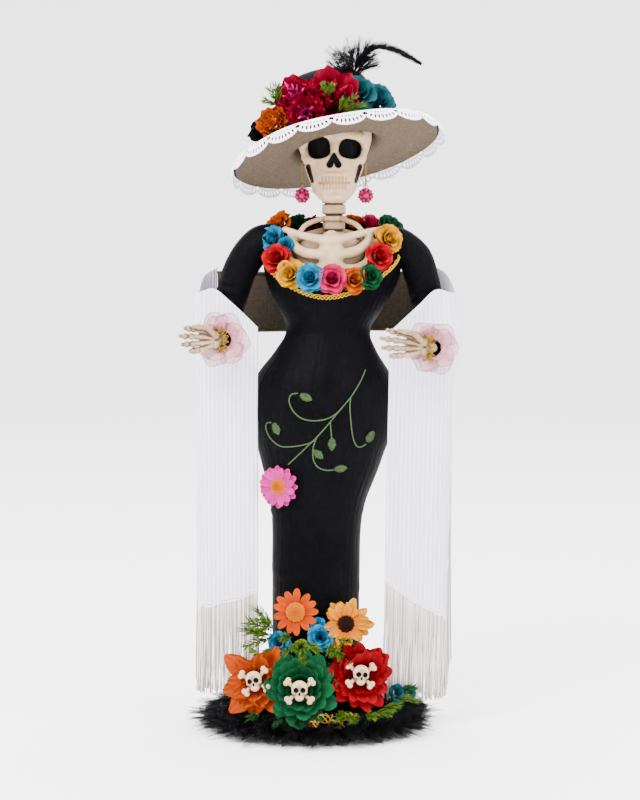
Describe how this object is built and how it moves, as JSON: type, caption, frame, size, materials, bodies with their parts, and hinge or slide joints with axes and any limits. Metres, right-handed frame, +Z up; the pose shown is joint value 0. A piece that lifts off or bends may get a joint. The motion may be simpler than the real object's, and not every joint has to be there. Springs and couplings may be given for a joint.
{
  "type": "papier-mache catrina figure",
  "caption": "Standing skeleton lady in a long black dress on a round base, with flowered wide-brim hat, white fringed shawl, paper-rose neckline and swinging earrings.",
  "frame": {"origin": "centre of the base's underside, on the surface it stands on", "axes": "+Z up, the figure faces -Y, its right hand is at -X"},
  "size_m": [0.249, 0.234, 0.634],
  "materials": {
    "black_cloth": "crinkled cloth",
    "blue": "fabric or paper petals",
    "bone": "cast bone, brown wash",
    "brown_mesh": "metallic knit",
    "burlap": "stiffened burlap",
    "crimson": "fabric or paper petals",
    "feather": "feather",
    "gem": "faceted",
    "gold": "bright",
    "green": "fabric or paper petals",
    "hot_pink": "fabric or paper petals",
    "leaf": "artificial leaves",
    "orange": "fabric or paper petals",
    "orange_red": "fabric or paper petals",
    "organza": "sheer organza",
    "paper": "papier-mache",
    "pink": "fabric or paper petals",
    "red": "fabric or paper petals",
    "teal": "fabric or paper petals",
    "thread": "embroidery thread",
    "tulle": "tulle",
    "white_gauze": "pleated gauze",
    "white_lace": "crochet",
    "wire": "bare wire",
    "wood": "bare",
    "yellow": "fabric or paper petals"
  },
  "bodies": {
    "figure": {"arm_wire": "wire", "base_board": "wood", "blue_rose_left": "blue", "blue_rose_right": "blue", "body_shell": "paper", "charm_green": "bone", "charm_orange": "bone", "charm_red": "bone", "cuff_left": "organza", "cuff_right": "organza", "dress": "black_cloth", "green_flower": "green", "greenery": "leaf", "hand_left": "bone", "hand_right": "bone", "hat_brim": "burlap", "hat_carnation_low": "crimson", "hat_carnation_side": "crimson", "hat_carnation_top": "crimson", "hat_crown": "black_cloth", "hat_feather": "feather", "hat_lace": "white_lace", "hat_orange_flower": "orange", "hat_teal_rose": "teal", "neck": "bone", "neckline_braid": "gold", "neckline_rose_01": "pink", "neckline_rose_02": "orange", "neckline_rose_03": "green", "neckline_rose_04": "red", "neckline_rose_05": "yellow", "neckline_rose_06": "green", "neckline_rose_07": "pink", "neckline_rose_08": "orange", "neckline_rose_09": "red", "neckline_rose_10": "green", "neckline_rose_11": "orange", "neckline_rose_12": "blue", "neckline_rose_13": "red", "neckline_rose_14": "yellow", "neckline_rose_15": "blue", "orange_daisy": "orange", "orange_flower": "orange_red", "pink_daisy": "hot_pink", "red_flower": "red", "ribcage": "bone", "shawl_back": "brown_mesh", "shawl_left": "white_gauze", "shawl_right": "white_gauze", "skull": "bone", "sleeve_left": "black_cloth", "sleeve_right": "black_cloth", "sunflower": "yellow", "support_dowel": "wood", "tulle_ruffle": "tulle", "vine_embroidery": "thread"},
    "earring_right_hook": {"earring_hook_right": "gold"},
    "earring_right_drop": {"earring_drop_right": "gem"},
    "earring_left_hook": {"earring_hook_left": "gold"},
    "earring_left_drop": {"earring_drop_left": "gem"}
  },
  "joints": [
    {"name": "earring_right_swing", "type": "hinge", "parent": "figure", "child": "earring_right_hook", "pos_m": [-0.0125, -0.004, 0.519], "axis": [1, 0, 0], "range_deg": [-40, 45]},
    {"name": "earring_right_drop_swing", "type": "hinge", "parent": "earring_right_hook", "child": "earring_right_drop", "pos_m": [-0.0125, -0.004, 0.498], "axis": [0, 1, 0], "range_deg": [-8, 60]},
    {"name": "earring_left_swing", "type": "hinge", "parent": "figure", "child": "earring_left_hook", "pos_m": [0.0455, -0.004, 0.519], "axis": [1, 0, 0], "range_deg": [-40, 45]},
    {"name": "earring_left_drop_swing", "type": "hinge", "parent": "earring_left_hook", "child": "earring_left_drop", "pos_m": [0.0455, -0.004, 0.498], "axis": [0, 1, 0], "range_deg": [-60, 8]}
  ]
}
